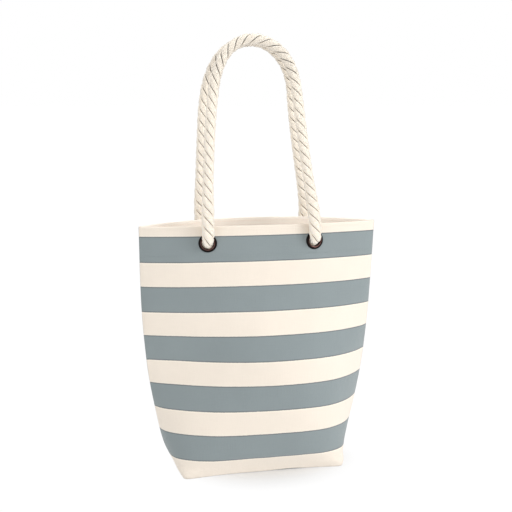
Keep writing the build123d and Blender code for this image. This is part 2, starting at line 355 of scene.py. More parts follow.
class Bag:
    """Outer face of the bag's front or rear wall."""

    def __init__(self, panel):
        self.cloth = bpy.context.scene.tote_cloth
        self.side = PANELS[panel]
        self.front = panel == "front"

    def section(self, up, across):
        """Points of the sections at the heights up, at the shares across of their length, from the left seam
        to the right one. A section is |x / w| ** flatness + |y / d| ** roundness = 1, its middle drawn in by
        the bow and its belly leaned sideways. Heights run from the floor line, which is lifted in the middle,
        to the rim, which dips towards the seams."""
        cloth = self.cloth
        columns = [through(LEVELS[:, 0], LEVELS[:, column], up)[:, None] for column in range(1, 7)]
        wide, deep, flatness, roundness, lean, shift = columns
        half = (cloth.base_length + wide * (cloth.mouth_width - cloth.base_length)) / 2
        angle = math.pi / 2 * np.sin(np.linspace(-math.pi / 2, math.pi / 2, SECTION_STEPS))[None, :]
        x = half * np.sign(angle) * np.abs(np.sin(angle)) ** (2 / flatness)
        lines = np.stack([x, -deep * np.abs(np.cos(angle)) ** (2 / roundness)], -1)
        runs = travelled(lines, axis=1)
        evened = np.array([read_off(line, run, across * run[-1]) for line, run in zip(lines, runs)])
        x, y = evened[..., 0], evened[..., 1]
        u = x / half
        bulge = 1 - np.abs(u) ** 3
        y = y + cloth.base_bow * (1 - ease(0.0, BOW_TOP, up))[:, None] * bulge
        if self.front:
            y = y + lean * BELLY * u * (1 - u**2)
        bottom = cloth.base_lift * bulge
        top = cloth.height - cloth.canvas - cloth.rim_dip * u**2 - (FRONT_DROP if self.front else 0.0)
        z = bottom + (top - bottom) * up[:, None]
        return np.stack([x + shift, -self.side * y, z], -1)

    def wall(self, up, across):
        """Points and outward normals of the wall, with the cloth's folds. The normal is the cross product of
        the differences along the two directions of the grid."""
        points = self.section(up, across)
        normals = self.normals(points)
        points = points + normals * self.folds(points, up, across)[..., None]
        return points, self.normals(points)

    def normals(self, points):
        along, upward = np.gradient(points, axis=1), np.gradient(points, axis=0)
        return unit(np.cross(along, upward)) * -self.side

    def folds(self, points, up, across):
        """Height of the folds over the smooth wall: long soft waves that fade out at the side seams and at
        the base, and die down towards the rim."""
        x, z = points[..., 0], points[..., 2]
        turn = 0.0 if self.front else REAR_TURN
        height = 0 * x
        for top, *waves in FOLDS:
            first, second = (np.sin(a * x + b * z + start + turns * turn) for a, b, start, turns in waves)
            height = height + top * first * second
        sideways = ease(0.0, SEAM_FADE, across) * ease(0.0, SEAM_FADE, 1 - across)
        upwards = ease(0.0, FOOT_FADE, up) * (1 - RIM_CALM * ease(RIM_FADE, 1.0, up))
        return height * sideways[None, :] * upwards[:, None]


SEAT_RANGE = (0.88, 0.97)     # shares of the height between which an eyelet's seat is looked for
SEAT_STEPS = (181, 401)       # points that are tried up and across


def at_eyelet(panel, side):
    """Seat of an eyelet on the wall: its point and outward normal, at the CAD eyelet's place."""
    place = middle(f"{panel}_{side}_eyelet")
    up, across = np.linspace(*SEAT_RANGE, SEAT_STEPS[0]), np.linspace(0.0, 1.0, SEAT_STEPS[1])
    points, normals = Bag(panel).wall(up, across)
    gap = np.hypot(points[..., 0] - place[0], points[..., 2] - place[2])
    row, column = np.unravel_index(np.argmin(gap), gap.shape)
    return points[row, column], normals[row, column]


# ---------------------------------------------------------------- materials
def worked_out(operation, turned=False):
    """A method that adds the Math node of the operation, on the socket itself and any other values."""
    def method(self, *others):
        inputs = (*others, self) if turned else (self, *others)
        return self.nodes.node("ShaderNodeMath", {"operation": operation}, dict(enumerate(inputs)))
    return method


class Wire:
    """A socket that takes part in arithmetic."""

    def __init__(self, nodes, socket):
        self.nodes, self.socket = nodes, socket

    __add__ = __radd__ = worked_out("ADD")
    __sub__, __rsub__ = worked_out("SUBTRACT"), worked_out("SUBTRACT", turned=True)
    __mul__ = __rmul__ = worked_out("MULTIPLY")
    __truediv__, __rtruediv__ = worked_out("DIVIDE"), worked_out("DIVIDE", turned=True)
    __mod__ = worked_out("FLOORED_MODULO")
    __gt__ = worked_out("GREATER_THAN")
    __abs__ = worked_out("ABSOLUTE")
    sin = worked_out("SINE")

    def rise(self, low, high):
        """0 below low, 1 above high, smooth between."""
        inputs = {0: self, 1: low, 2: high, 3: 0.0, 4: 1.0}
        return self.nodes.node("ShaderNodeMapRange", {"interpolation_type": "SMOOTHSTEP"}, inputs)


class Nodes:
    """A tree whose nodes are added by expressions."""

    def __init__(self, tree):
        self.tree = tree

    def node(self, kind, settings=None, inputs=None, output=0):
        """Adds a node: its settings first, then the values and links of its sockets. Gives one output."""
        node = self.tree.nodes.new(kind)
        for name, value in (settings or {}).items():
            setattr(node, name, value)
        for name, value in (inputs or {}).items():
            self.feed(node.inputs[name], value)
        return Wire(self, node.outputs[output])

    def feed(self, socket, value):
        if isinstance(value, Wire):
            self.tree.links.new(value.socket, socket)
        elif socket.type == "RGBA":
            socket.default_value = (*value, 1.0)
        else:
            socket.default_value = value


class Finish(Nodes):
    """A material. Its constants are given under the names of its shader's sockets."""

    def __init__(self, name, **constants):
        self.material = bpy.data.materials.new(name)
        self.material.use_nodes = True
        super().__init__(self.material.node_tree)
        self.shader = self.tree.nodes["Principled BSDF"]
        for socket, value in constants.items():
            self.set(socket.replace("_", " ").title().replace("Ior", "IOR"), value)

    def set(self, socket, value):
        self.feed(self.shader.inputs[socket], value)

    def split(self, vector):
        """The three parts of a vector."""
        first = self.node("ShaderNodeSeparateXYZ", None, {0: vector})
        return [Wire(self, socket) for socket in first.socket.node.outputs]

    def cloth(self):
        """The piece's own UV map, in metres: across, and down or along."""
        return self.split(self.node("ShaderNodeUVMap", {"uv_map": "cloth"}))[:2]

    def position(self):
        """The piece's own coordinates, as a vector."""
        return self.node("ShaderNodeTexCoord", output="Object")

    def noise(self, x, y, z, detail=2.0, roughness=0.5):
        """Cloudy noise between 0 and 1, with cells of size 1."""
        vector = self.node("ShaderNodeCombineXYZ", None, {0: x, 1: y, 2: z})
        inputs = {"Vector": vector, "Scale": 1.0, "Detail": detail, "Roughness": roughness}
        return self.node("ShaderNodeTexNoise", {"noise_dimensions": "3D"}, inputs)

    def mix(self, factor, first, second):
        """Colour between two colours."""
        settings = {"data_type": "RGBA", "clamp_factor": True}
        return self.node("ShaderNodeMix", settings, {0: factor, 6: first, 7: second}, output=2)

    def shade(self, colour_value, brightness):
        """A colour with each part multiplied by a value."""
        grey = self.node("ShaderNodeCombineXYZ", None, dict.fromkeys(range(3), brightness))
        return self.node("ShaderNodeVectorMath", {"operation": "MULTIPLY"}, {0: colour_value, 1: grey})

    def bump(self, height, distance):
        self.set("Normal", self.node("ShaderNodeBump", None, {"Height": height, "Distance": distance}))


SLUB_LONG, SLUB_FINE = 55, 1100  # cells of a slub's noise in a metre along the thread and across it
EDGE_THREADS = (0.0012, 0.0020)  # widths between which the threads beside a stripe's edge end
LIGHT_START = 0.0002          # how much further out the light threads start to end
STRIPE_WANDER = 0.0009        # width in which a stripe's edge wanders
FOOT_SHADE = (0.0004, 0.0030) # heights between which the painted shade next to the floor dies out


def weave(finish, across, down, pitch):
    """Height of a plain weave and its tone. At each crossing the thread on top is a bump, the product of two
    sine waves over two threads. The tone tells the threads across from those along. Slubs are noise drawn
    out along the threads."""
    waves = (across * (math.pi / pitch)).sin() * (down * (math.pi / pitch)).sin()
    slubs_across = finish.noise(across * SLUB_LONG, down * SLUB_FINE, 0.0)
    slubs = slubs_across + finish.noise(across * SLUB_FINE, down * SLUB_LONG, 7.0) - 1.0
    height = abs(waves) * 0.75 + slubs * 0.9
    tone = 1.0 + (waves > 0) * 0.014 - 0.007 + slubs * 0.045
    return height, tone


def canvas_finish(name):
    """Heavy plain-woven cotton canvas: dyed stripes on the outer face, and bare cream within, where they show
    through a little. A stripe's outermost threads are darker, and the cream ones beside them are lighter. The
    lowest millimetres, next to the floor, are darkened with painted shade, and the lining glows a little as
    painted light."""
    cloth, colours = bpy.context.scene.tote_cloth, bpy.context.scene.tote_colours
    striped = name == "striped_canvas"
    # the lining's emission is painted light: it glows faintly in its own colour to brighten the inside
    finish = Finish(
        name, sheen_weight=0.40, sheen_roughness=0.45, specular_ior_level=0.25,
        emission_strength=0.0 if striped else 0.07,
    )
    across, down = finish.cloth()
    height, tone = weave(finish, across, down, cloth.thread)
    ragged = (finish.noise(across * 900, down * 250, 3.0) - 0.5) * STRIPE_WANDER
    edge = cloth.stripe / 2
    off_middle = abs((down + ragged - cloth.top_band) % (cloth.stripe + cloth.gap) - edge)
    stripe = 1.0 - off_middle.rise(edge - 0.00035, edge)
    patches = finish.noise(across * 14, down * 9, 1.0, 3.0) - 0.5
    if striped:
        narrow, wide = EDGE_THREADS
        dark = stripe * off_middle.rise(edge - wide, edge - narrow)
        light = 1.0 - off_middle.rise(edge + narrow + LIGHT_START, edge + wide)
        light = light * off_middle.rise(edge, edge + 0.0004)
        tone = tone + stripe * patches * 0.10 - dark * 0.34 + light * 0.07
        base = finish.mix(stripe, colours.cream, colours.grey)
    else:
        base = finish.mix(stripe * 0.10, colours.lining, colours.grey)
    # painted shade: the canvas is darker along its lowest millimetres, next to the floor
    foot = 0.80 + finish.split(finish.position())[2].rise(*FOOT_SHADE) * 0.20
    base = finish.shade(base, (tone + patches * 0.03) * foot)
    finish.set("Base Color", base)
    # painted light: the lining glows faintly
    if not striped:
        finish.set("Emission Color", base)
    finish.set("Roughness", 0.88 - height * 0.06)
    finish.bump(height, 0.00022)
    return finish.material


def tape_finish(name):
    """Twilled cotton tape: fine ridges on the slant."""
    finish = Finish(name, sheen_weight=0.1, specular_ior_level=0.3)
    across, down = finish.cloth()
    ridges = abs(((across + down) * 3200.0).sin())
    slubs = finish.noise(across * 300, down * 300, 0.0, 3.0)
    tone = 0.9 + ridges * 0.06 + slubs * 0.06
    finish.set("Base Color", finish.shade(bpy.context.scene.tote_colours.tape, tone))
    finish.set("Roughness", 0.84 - ridges * 0.08)
    finish.bump(ridges, 0.00015)
    return finish.material


YARN_LAY = 0.030              # length in which a yarn goes once round its strand
ARCH_SHADE_AT = 0.31                # way along a handle to the middle of its arch
ARCH_SHADE_REACH = (0.06, 0.11)     # lengths from there between which the painted shade on the arch dies out
GROOVE_SHADE = (0.275, 0.325)       # shares round a strand, from its outermost line, between which its painted shade starts


def rope_finish(name):
    """Laid cotton: yarns side by side along the rope, fine fibres, and brown painted shade where two strands
    meet.
    The arch is a little darker, with painted shade, and the cotton glows a little as painted light. The UV
    map's first part goes once round the strand from its innermost line, and the second is the length."""
    rope, colours = bpy.context.scene.tote_rope, bpy.context.scene.tote_colours
    # the emission is painted light: the cotton glows a little in its own colour
    finish = Finish(
        name, sheen_weight=0.9, sheen_roughness=0.35, specular_ior_level=0.2, emission_strength=0.15
    )
    around, along = finish.cloth()
    turns = around * rope.yarns + along * (rope.yarns / YARN_LAY)
    yarns = abs((turns * math.pi).sin())
    fibres = finish.noise(turns * 1.7, along * 260, 0.0, 3.0, 0.6)
    fuzz = finish.noise(around * 45, along * 1500, 4.0, 3.0, 0.7)
    clumps = finish.noise(around * 13, along * 430, 9.0, 2.0, 0.6)
    # painted shade: the arch is a little darker, and its painted shade between the strands a little wider
    arch_shade = 1.0 - abs(along - ARCH_SHADE_AT).rise(*ARCH_SHADE_REACH)
    # painted shade where two strands meet
    groove_shade = (abs(around - 0.5) + arch_shade * 0.011).rise(*GROOVE_SHADE) * (0.55 + clumps * 0.7)
    tone = 0.62 - arch_shade * 0.11 + yarns * 0.09 + fibres * 0.14 + fuzz * 0.28 + clumps.rise(0.25, 0.75) * 0.28
    base = finish.shade(finish.mix(groove_shade, colours.rope, colours.groove_shade), tone)
    finish.set("Base Color", base)
    # painted light: the cotton's glow
    finish.set("Emission Color", base)
    finish.set("Roughness", 0.9 - yarns * 0.08)
    finish.bump(yarns * 0.55 + fibres * 0.5 + fuzz * 0.5 + clumps * 0.6, 0.0005)
    return finish.material


# Each twine or thread: the name of its colour, and the length in which its plies go once round.
TWINES = {
    "cream_thread": ("cream", 0.0012),
    "grey_thread": ("grey", 0.0012),
    "waxed_twine": ("twine", 0.0016),
}


def twine_finish(name):
    """Twisted twine or sewing thread: slanted plies along it."""
    dye, pitch = TWINES[name]
    finish = Finish(name, sheen_weight=0.1, specular_ior_level=0.4)
    around, along = finish.cloth()
    plies = abs(((around * 2 + along / pitch) * math.pi).sin())
    base = getattr(bpy.context.scene.tote_colours, dye)
    finish.set("Base Color", finish.shade(base, 0.88 + plies * 0.2))
    finish.set("Roughness", 0.66 - plies * 0.12)
    finish.bump(plies, 0.00012)
    return finish.material


CLOUD, FINE = 420.0, 2600.0   # cells of the bronze's patina in a metre
CROWN = (0.0042, 0.0049, 0.0056, 0.0064)  # ways along the profile where the painted highlight on the crown starts and ends


def bronze_finish(name):
    """Antiqued bronze: nearly black in the hollows and at the edges, and red-brown on the flange's crown as a
    painted highlight. The UV map's second part runs along the profile, from the bore over the flange to its
    rim."""
    colours = bpy.context.scene.tote_colours
    finish = Finish(name, metallic=0.9)
    along = finish.cloth()[1]
    place = finish.split(finish.position())
    cloud = finish.noise(*(part * CLOUD for part in place), 4.0)
    fine = finish.noise(*(part * FINE for part in place))
    # painted highlight: a red-brown band on the flange's crown
    crown_highlight = along.rise(*CROWN[:2]) * (1.0 - along.rise(*CROWN[2:])) * (cloud * 1.1 + 0.1)
    finish.set("Base Color", finish.mix(crown_highlight, colours.patina, colours.bronze))
    finish.set("Roughness", 0.30 + cloud * 0.14 + fine * 0.05)
    finish.bump(fine * 0.3 + cloud, 0.00008)
    return finish.material


FLOOR_WHITE = 1.02            # strength of the floor's own white
FLOOR_GLOW = 0.58             # share of it in the light that the floor sends to the bag
NEAR, FAR = 0.04, 0.12        # distances from the bag's middle between which the floor turns to plain white
NARROWED = (0.80, 1.0, 1.0)   # how much less the distances count along the bag
SHIFTED = (-0.012, 0.0, 0.0)  # from the shadow's middle back to the bag's


def floor_finish(name):
    """Plain pale floor: it takes soft shadows near the bag, and shows white to the eye further out."""
    finish = Finish(name, base_color=(0.76, 0.76, 0.76), roughness=0.9, specular_ior_level=0.1)
    inputs = {0: finish.position(), 1: NARROWED, 2: SHIFTED}
    place = finish.node("ShaderNodeVectorMath", {"operation": "MULTIPLY_ADD"}, inputs)
    away = finish.node("ShaderNodeVectorMath", {"operation": "LENGTH"}, {0: place}, "Value")
    seen = finish.node("ShaderNodeLightPath", output="Is Camera Ray")
    share = seen * (0.10 + away.rise(NEAR, FAR) * 0.90) + (1.0 - seen) * FLOOR_GLOW
    white = finish.node("ShaderNodeEmission", None, {"Strength": FLOOR_WHITE})
    inputs = {0: share, 1: Wire(finish, finish.shader.outputs[0]), 2: white}
    mixed = finish.node("ShaderNodeMixShader", None, inputs)
    finish.feed(finish.tree.nodes["Material Output"].inputs[0], mixed)
    return finish.material


FINISHES = {
    "striped_canvas": canvas_finish,
    "canvas_lining": canvas_finish,
    "binding_tape": tape_finish,
    "laid_cotton": rope_finish,
    **dict.fromkeys(TWINES, twine_finish),
    "antique_bronze": bronze_finish,
    "studio_floor": floor_finish,
}


def material(name):
    """The named material, made on first use."""
    return bpy.data.materials.get(name) or FINISHES[name](name)


# ---------------------------------------------------------------- ropes
FRAME_GUIDE = (-0.6, -0.5, -0.62)  # a direction that no rope runs along


def rope_frames(points):
    """Two directions across a line of points, and the angle by which they have turned about it. The first is
    square to the line and to a fixed direction, and the angle is the sum of the small turns from point to
    point."""
    along = unit(np.gradient(points, axis=0))
    first = unit(np.cross(FRAME_GUIDE, along))
    second = np.cross(along, first)
    turn = np.einsum("ij,ij->i", np.diff(first, axis=0), (second[:-1] + second[1:]) / 2)
    return first, second, np.concatenate([[0.0], np.cumsum(turn)])


STRAND_RADIUS = 0.262         # of a strand in a knot, as a share of the rope's diameter
STRAND_REACH = 0.247          # of a strand's middle from the rope's, as the same
ARC_STEPS, ARC_HALF = 17, 58.5  # points on a strand's outer arc, and half its angle in degrees
ARC_DROP, ARC_ROUND = 0.30, 0.04  # shares of the radius that the arc loses as the sixth power and the square
# The waves that make a strand's radius uneven: radians in a metre of rope, from strand to strand, and for each
# radian round the strand. Last, their height as a share of the radius.
UNEVEN = [(880, 5, 3), (1430, 11, -5)]
UNEVEN_SHARE = 0.02


def strand_section():
    """A strand's outline, as the distance from the rope's middle in shares of its radius, the angle from the
    strand's own direction, and the way round: an arc whose ends drop off into the grooves as the sixth power,
    and two flanks that meet near the rope's middle."""
    part = np.linspace(-1, 1, ARC_STEPS)
    reach = 1 - ARC_DROP * part**6 - ARC_ROUND * part**2
    arc = np.column_stack([reach, part * ARC_HALF, 0.5 + 0.32 * part])
    left, right = [(0.12, -42.0, 0.02), (0.42, -55.0, 0.10)], [(0.42, 55.0, 0.90), (0.12, 42.0, 0.98)]
    away, lead, way = np.array([*left, *arc, *right]).T
    return away, np.radians(lead), way


def add_strands(shells, points, phase=0.0, swell=1.0):
    """Strands laid left-handed round a line of points. A point of strand k's outline, at the distance r and
    the angle b, lies at the line plus r radius (cos a first + sin a second), where a is the phase + 2 pi k /
    strands - 2 pi run / lay + b, less the frames' own turn. Two sine waves of the run, the strand and b make
    the radius uneven, as soft yarns do. The ends close to points."""
    rope = bpy.context.scene.tote_rope
    run = travelled(points)
    first, second, turn = rope_frames(points)
    away, lead, way = strand_section()
    size = rope.diameter / 2 * np.broadcast_to(swell, run.shape)
    for strand in range(rope.strands):
        angle = phase + 2 * math.pi * (strand / rope.strands - run / rope.lay) - turn
        angle = (angle[:, None] + lead)[..., None]
        spoke = np.cos(angle) * first[:, None] + np.sin(angle) * second[:, None]
        waves = (np.sin(run[:, None] * rate + step * strand + slope * lead) for rate, step, slope in UNEVEN)
        grid = points[:, None] + spoke * (away * size[:, None] * (1 + UNEVEN_SHARE * sum(waves)))[..., None]
        uv = uv_map(np.append(way, way[0] + 1), np.pad(run, 1, "edge")[:, None])
        shells.add(capped(grid), uv, wrap_columns=True)


def add_tube(shells, centre, radius, outward, sides=22):
    """A closed tube round a line: each ring is centre + radius (cos a outward + sin a sideways), with a
    measured from the side that faces away from outward. The ends close flat."""
    along = unit(np.gradient(centre, axis=0))
    outward = unit(outward - np.einsum("ij,ij->i", outward, along)[:, None] * along)
    sideways = np.cross(along, outward)
    angle = circle(sides)
    ring = -np.cos(angle)[:-1, None] * outward[:, None, :] - np.sin(angle)[:-1, None] * sideways[:, None, :]
    uv = uv_map(angle / (2 * math.pi), np.pad(travelled(centre), 1, "edge")[:, None])
    shells.add(capped(centre[:, None, :] + radius * ring), uv, wrap_columns=True)


def route_line(name, places, spacing):
    """Even points along the smooth curve that has the places as its control points."""
    curve = bpy.data.curves.new(name, "CURVE")
    curve.dimensions = "3D"
    curve.resolution_u = 24
    spline = curve.splines.new("NURBS")
    spline.points.add(len(places) - 1)
    spline.points.foreach_set("co", np.column_stack([places, np.ones(len(places))]).ravel())
    spline.order_u = 3
    spline.use_endpoint_u = True
    holder = bpy.data.objects.new(name, curve)
    mesh = bpy.data.meshes.new_from_object(holder)
    points = np.empty(len(mesh.vertices) * 3)
    mesh.vertices.foreach_get("co", points)
    bpy.data.objects.remove(holder)
    bpy.data.curves.remove(curve)
    bpy.data.meshes.remove(mesh)
    return evenly(points.reshape(-1, 3), spacing)


# Each handle's route from its left eyelet to its right one: distance to the right of the bag's middle, and
# height above the eyelets.
ROUTES = {
    "front": [
        (-0.0750, 0.036), (-0.0735, 0.086), (-0.0706, 0.136), (-0.0663, 0.184), (-0.0605, 0.221),
        (-0.047, 0.2492), (-0.0240, 0.2658), (0.004, 0.2658), (0.0302, 0.2495), (0.0451, 0.221),
        (0.0500, 0.181), (0.0551, 0.135), (0.0618, 0.086), (0.0695, 0.038),
    ],
    "rear": [
        (-0.0745, 0.038), (-0.0743, 0.092), (-0.0730, 0.140), (-0.0720, 0.180), (-0.0655, 0.218),
        (-0.050, 0.247), (-0.024, 0.2635), (0.0065, 0.2635), (0.0320, 0.2448), (0.0473, 0.216),
        (0.0513, 0.178), (0.0583, 0.134), (0.0668, 0.088), (0.0765, 0.040),
    ],
}
# How a handle threads its eyelets: distance out of the cloth, to the right and up from the eyelet's middle. It
# starts inside the bag at the same place in all four.
INSIDE = (-0.0120, 0.0, -0.0006)
THREADING = {
    "front_left": [INSIDE, (0.0005, 0.0, -0.0010), (0.0092, -0.0003, 0.0030), (0.0108, -0.0003, 0.0150)],
    "front_right": [INSIDE, (0.0005, 0.0, -0.0008), (0.0092, -0.0012, 0.0030), (0.0108, -0.0028, 0.0150)],
    "rear_left": [INSIDE, (0.0005, 0.0, -0.0010), (0.0092, 0.0003, 0.0030), (0.0108, 0.0006, 0.0150)],
    "rear_right": [INSIDE, (0.0005, 0.0, -0.0008), (0.0092, 0.0006, 0.0030), (0.0108, 0.0018, 0.0150)],
}
LEAN_START = 0.034            # height above the eyelets where a handle starts to lean inwards
HANDLE_GAP = 0.0005           # from a handle's top to the plane between the two
EXIT_TURN = (0.3, 1, 1)       # share of the cloth's own direction that the rope takes on leaving it
ROPE_STEP = 0.0016            # distance between two rings of a strand
ARCH_SWELL = 0.97             # thickness of a handle at its arch, as a share of the rope's
# What is added to that towards the ends, and the ways in from an end between which it dies out: the handle is
# fuller above the eyelets, and held together in them.
SWELLS = [(0.17, 0.055, 0.105), (-0.36, 0.014, 0.030)]
PHASES = {"front": 0.4, "rear": 1.5}  # turn of the strands at a handle's start


def handle_places(panel):
    """Control points of a handle: through the left eyelet from inside, up the route, and back through the
    right one. Above LEAN_START the handle leans inwards, until its top meets the other one's."""
    rope, hinge, route = bpy.context.scene.tote_rope, HINGES[f"{panel}_handle"], np.array(ROUTES[panel])
    out, top = abs(hinge[1]), route[:, 1].max()
    lean = (out - rope.diameter / 2 - HANDLE_GAP) / (top - LEAN_START)
    y = out - lean * np.maximum(route[:, 1] - LEAN_START, 0)
    body = np.column_stack([route[:, 0], PANELS[panel] * y, hinge[2] + route[:, 1]])
    ends = {}
    for side in SIDES:
        seat, normal = at_eyelet(panel, side)
        leaving = unit(normal * EXIT_TURN)
        rows = THREADING[f"{panel}_{side}"]
        ends[side] = np.array([seat + leaving * away + [right, 0, rise] for away, right, rise in rows])
    return np.concatenate([ends["left"], body, ends["right"][::-1]])


KNOT_STEPS = 97
KNOT_TURNS = 1.34             # how often a strand goes round the knot
KNOT_SWELL, KNOT_RISE = 0.0079, 0.0095  # how far it swells out, and half of the knot's height
KNOT_CROSSING = 0.0052        # height of the waves in which the strands cross
KNOT_FLATNESS = 0.78          # the knot's depth as a share of its width


def stopper_knot(shells, centre, phase):
    """The strands' stopper knot, unrolled from the rope's axis: each strand leaves it, swells out round the
    others for a turn and a third and comes back. Its middle is centre + r (cos a, flatness sin a) + h up,
    where r swells as a sine's power of 1.5, a changes steadily and h goes down with the waves of the strands'
    crossing."""
    rope = bpy.context.scene.tote_rope
    way = np.linspace(0, 1, KNOT_STEPS)
    arch = np.sin(math.pi * way)
    for strand in range(rope.strands):
        angle = phase + 2 * math.pi * (strand / rope.strands - KNOT_TURNS * way)
        reach = STRAND_REACH * rope.diameter + KNOT_SWELL * arch**1.5
        height = KNOT_RISE * (1 - 2 * way) + KNOT_CROSSING * np.sin(3 * math.pi * way) * arch
        outward = np.stack([np.cos(angle), KNOT_FLATNESS * np.sin(angle), 0 * angle], -1)
        line = centre + reach[:, None] * outward + np.outer(height, [0, 0, 1])
        add_tube(shells, line, STRAND_RADIUS * rope.diameter, outward)


TWINE_FILL, TWINE_STEPS = 0.98, 28  # share of its place that a turn of twine fills, and points in a turn


def add_whipping(shells, whipping):
    """Turns of twine laid side by side round a tail: the twine's middle is the whipping's plus
    r (cos a, sin a), and goes up steadily with a."""
    turns = bpy.context.scene.tote_rope.whipping_turns
    width, _, height = span(whipping)
    thick = height / turns * TWINE_FILL
    angle = np.linspace(0, 2 * math.pi * turns, TWINE_STEPS * turns)
    spoke = np.stack([np.cos(angle), np.sin(angle), 0 * angle], -1)
    up = np.linspace(-0.5, 0.5, len(angle)) * (height - thick)
    coil = middle(whipping) + (width / 2 - thick / 2) * spoke + np.outer(up, [0, 0, 1])
    add_tube(shells, coil, thick / 2, spoke, sides=8)


# ---------------------------------------------------------------- cloth pieces
WALL_ROWS, WALL_COLUMNS = 116, 151
ROWS_CROWD = 1.25             # power that draws the walls' rows together towards the base
HEM_STEP = (-0.0015, 0.0005)  # shares of the height where the hem's edge starts and ends, from its foot
ROLL_ROWS = 7                 # rows over the rim's fold
SEAM_PLANE = 0.00004          # how close to the seams' plane a wall's inner face may come


def wall_grid():
    """Shares up and across that the cloth pieces share, closer together at the base, at the seams and over the
    hem's edge."""
    even = np.linspace(0, 1, WALL_COLUMNS)
    across = (even + (1 - np.cos(math.pi * even)) / 2) / 2
    rows = np.linspace(0, 1, WALL_ROWS) ** ROWS_CROWD
    return np.sort(np.append(rows, [hem_foot() + step for step in HEM_STEP])), across


def hem_foot():
    """Share of the height at the hem's lower edge."""
    cloth = bpy.context.scene.tote_cloth
    return 1 - cloth.hem_depth / cloth.height


def at_rows(grid, rows, up):
    """A grid's values at the shares up, between its rows."""
    low = np.clip(np.searchsorted(rows, up, side="right") - 1, 0, len(rows) - 2)
    way = ((up - rows[low]) / (rows[low + 1] - rows[low]))[:, None, None]
    return grid[low] * (1 - way) + grid[low + 1] * way


def profile_shell(bag, up, inset, rise=0.0):
    """A closed shell of cloth: each point of its profile is the wall's point at the share up, moved inwards
    along the normal by the inset and lifted by the rise. Its ends close on the side seams' line, and nothing
    crosses the seams' plane. Gives the points and their UVs, across and along the profile."""
    rows, across = wall_grid()
    points, normals = bag.wall(rows, across)
    whole = np.ones(WALL_COLUMNS)
    whole[[0, -1]] = 0
    shell = at_rows(points, rows, up) - at_rows(normals, rows, up) * (inset[:, None] * whole)[..., None]
    shell[..., 2] += np.broadcast_to(rise, up.shape)[:, None] * whole
    shell[..., 1] = bag.side * np.maximum(bag.side * shell[..., 1], SEAM_PLANE)
    return shell, uv_map(across * bag.cloth.mouth_width, travelled(shell))


def add_panel(shells, panel):
    """One canvas panel. Its profile runs up the outer face, rolls over the rim in half a circle, comes down as
    the turned hem, steps back to the inner face and goes down to the base. Its UVs run down from the rim."""
    bag, (rows, _) = Bag(panel), wall_grid()
    roll = np.linspace(0, math.pi, ROLL_ROWS + 2)[1:-1]
    up = np.concatenate([rows, np.ones(ROLL_ROWS), rows[::-1]])
    thick = bag.cloth.canvas
    inset = np.concatenate([0 * rows, thick * (1 - np.cos(roll)), thick * (1 + (rows[::-1] > hem_foot()))])
    rise = np.concatenate([0 * rows, thick * np.sin(roll), 0 * rows])
    shell, uv = profile_shell(bag, up, inset, rise)
    uv[..., 1] = np.abs(uv[..., 1] - uv[len(rows) - 1, :, 1])
    lining = np.arange(len(up))[:, None] > len(rows) + ROLL_ROWS // 2
    shells.add(shell, uv, wrap_rows=True, finish=lining)


BAND_SIDES = 24               # points round a band's profile
BAND_FILL = 0.7               # how far its corners are filled out, from 0 for an oval to 1 for a rectangle


def add_band(shells, panel, low, high, outer, inner):
    """A band of cloth inside the wall, between two heights and two insets, with a rounded profile: the middle
    of its section goes round an oval whose corners are filled out."""
    bag, angle = Bag(panel), circle(BAND_SIDES)[:-1]
    side, level = np.cos(angle), np.sin(angle)
    square = np.maximum(np.abs(side), np.abs(level)) ** BAND_FILL
    up = (low + high) / 2 + (high - low) / 2 * level / square
    inset = (outer + inner) / 2 - (inner - outer) / 2 * side / square
    shells.add(*profile_shell(bag, np.clip(up / bag.cloth.height, 0, 1), inset), wrap_rows=True)


BASE_RINGS = 24
BASE_DRAWN_IN = 0.0006        # share by which the base's upper face is smaller than its lower one


def add_base(shells):
    """The base: rings from the two walls' foot to the middle, on the floor in the middle and along the ends,
    and lifted with the walls towards the middle of the long edges. It is closed by an upper face, one cloth
    higher."""
    across = wall_grid()[1]
    front, rear = (Bag(panel).section(np.array([0.0]), across)[0] for panel in PANELS)
    rim = np.concatenate([front[:-1], rear[::-1][:-1]])
    centre = np.array([rim[:, 0].mean(), 0.0, 0.0])
    out = np.linspace(0, 1, BASE_RINGS)
    way = np.concatenate([out, out[::-1]])[:, None]
    points = centre + (rim - centre) * way[..., None]
    points[..., 2] = rim[:, 2] * way**2
    upper = slice(BASE_RINGS, None)
    points[upper, :, 2] += bpy.context.scene.tote_cloth.canvas
    points[upper, :, :2] -= (rim - centre)[:, :2] * BASE_DRAWN_IN * way[upper, :, None]
    shells.add(points, points[..., :2], wrap_columns=True)


FIN_ENDS = (0.028, 0.985)     # shares of the height between which a seam's allowance runs
FIN_ROWS, FIN_COLUMNS = 150, 9
FIN_START = 0.0038            # from the seam to where its allowance comes out between the panels
FIN_THIN, FIN_GAIN = 0.00012, 0.00085  # half of its thickness there, and what it gains further out
# The waves of its free edge: height, radians in the whole height, and radians at the start.
FIN_WAVES = [(0.0011, 31, 1.3), (0.0006, 77, 0.0)]


